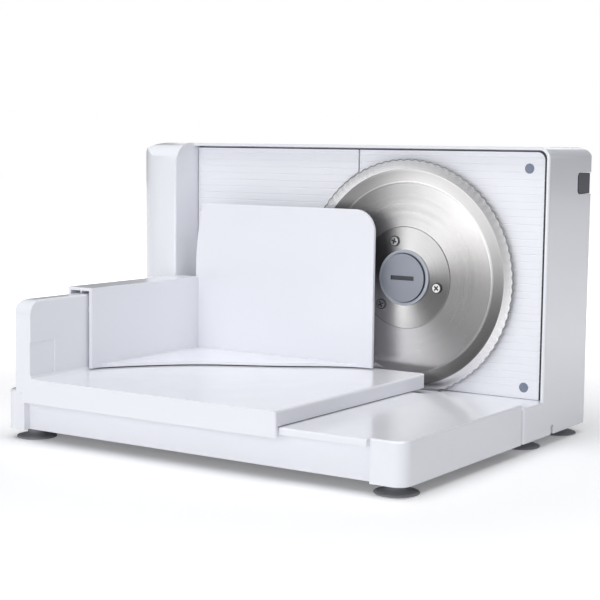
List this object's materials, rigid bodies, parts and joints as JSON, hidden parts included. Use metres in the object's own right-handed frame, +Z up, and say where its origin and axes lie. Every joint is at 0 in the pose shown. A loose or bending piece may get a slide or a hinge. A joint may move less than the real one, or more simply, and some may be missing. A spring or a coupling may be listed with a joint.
{
  "type": "electric food slicer",
  "caption": "Household electric food slicer with a scalloped round blade, an adjustable thickness plate, a sliding food carriage with a pusher, and a base tray on suction feet.",
  "frame": {"origin": "on the floor plane, under the middle of the whole machine's bounding box", "axes": "+X to the right of the user who stands in front, +Y away from the user towards the motor's back, +Z up"},
  "size_m": [0.4, 0.304, 0.229],
  "materials": {
    "white": "glossy white moulding",
    "grey_blue": "satin grey-blue plastic",
    "dark_grey": "dark grey satin plastic",
    "suction_rubber": "soft grey rubber",
    "blade_steel": "brushed stainless steel with a bright ground edge",
    "screw_steel": "plated steel",
    "shaft_steel": "ground steel",
    "plate_steel": "plain sheet steel",
    "gear_plastic": "natural engineering plastic",
    "bush_bronze": "sintered bronze",
    "motor_steel": "plated motor steel",
    "magnet": "dark ferrite",
    "switch_black": "black plastic"
  },
  "bodies": {
    "base": {"main_housing": "white", "blade_panel": "white", "panel_plugs": "grey_blue", "panel_screws": "screw_steel", "guide_rods": "shaft_steel", "tower_cover": "white", "rear_cover": "white", "cover_screws": "screw_steel", "bottom_plate": "white", "bottom_screws": "screw_steel", "cord_gland": "suction_rubber", "base_tray": "white", "tray_screws": "screw_steel", "foot_tray_left": "suction_rubber", "foot_tray_right": "suction_rubber", "foot_left_front": "suction_rubber", "foot_left_back": "suction_rubber", "foot_right_front": "suction_rubber", "foot_right_back": "suction_rubber", "gear_plate": "plate_steel", "motor_plate": "plate_steel", "gearbox_spacers": "plate_steel", "gearbox_screws": "screw_steel", "spindle": "shaft_steel", "spindle_nut": "shaft_steel", "lay_bush_front": "bush_bronze", "lay_bush_rear": "bush_bronze", "motor_can": "motor_steel", "motor_end_cap": "motor_steel", "motor_magnets": "magnet", "motor_screws": "screw_steel", "switch_body": "switch_black"},
    "thickness_plate": {"stop_plate": "white", "plate_slide": "gear_plastic", "plate_screws": "screw_steel"},
    "thickness_knob": {"thickness_knob": "dark_grey", "knob_pinion": "gear_plastic"},
    "carriage": {"carriage": "white"},
    "pusher": {"food_pusher": "white"},
    "blade_unit": {"blade": "blade_steel", "blade_carrier": "grey_blue", "blade_bush": "bush_bronze", "blade_screws": "screw_steel"},
    "hub_lock": {"hub_lock": "grey_blue"},
    "layshaft_unit": {"layshaft": "shaft_steel", "drive_pinion": "gear_plastic", "lay_gear": "gear_plastic"},
    "motor_rotor": {"motor_shaft": "shaft_steel", "motor_armature": "motor_steel", "motor_pinion": "gear_plastic"},
    "power_button": {"power_button": "dark_grey", "switch_plunger": "switch_black"}
  },
  "joints": [
    {"name": "plate_slide", "type": "slide", "parent": "base", "child": "thickness_plate", "axis": [0, 1, 0], "range_m": [-0.005, 0.01]},
    {"name": "knob_turn", "type": "hinge", "parent": "base", "child": "thickness_knob", "pos_m": [-0.193, 0.112, 0.125], "axis": [1, 0, 0], "range_deg": [-42, 83]},
    {"name": "carriage_slide", "type": "slide", "parent": "base", "child": "carriage", "axis": [1, 0, 0], "range_m": [0, 0.15]},
    {"name": "pusher_slide", "type": "slide", "parent": "carriage", "child": "pusher", "axis": [0, 1, 0], "range_m": [-0.058, 0.003]},
    {"name": "blade_spin", "type": "hinge", "parent": "base", "child": "blade_unit", "pos_m": [0.077, 0.072, 0.1235], "axis": [0, 1, 0], "continuous": true},
    {"name": "hub_lock_turn", "type": "hinge", "parent": "blade_unit", "child": "hub_lock", "pos_m": [0.077, 0.072, 0.1235], "axis": [0, 1, 0], "range_deg": [0, 90]},
    {"name": "layshaft_spin", "type": "hinge", "parent": "base", "child": "layshaft_unit", "pos_m": [0.122, 0.09, 0.1235], "axis": [0, 1, 0], "continuous": true},
    {"name": "motor_spin", "type": "hinge", "parent": "base", "child": "motor_rotor", "pos_m": [0.14128, 0.12, 0.10052], "axis": [0, 1, 0], "continuous": true},
    {"name": "button_press", "type": "slide", "parent": "base", "child": "power_button", "axis": [0, -1, 0], "range_m": [0, 0.003], "stiffness_N_per_m": 400, "springref_m": -0.002}
  ],
  "couplings": [
    {"joint": "knob_turn", "follows": "plate_slide", "rad_per_m": 142.86},
    {"joint": "layshaft_spin", "follows": "blade_spin", "ratio": -4},
    {"joint": "motor_spin", "follows": "blade_spin", "ratio": 16}
  ]
}
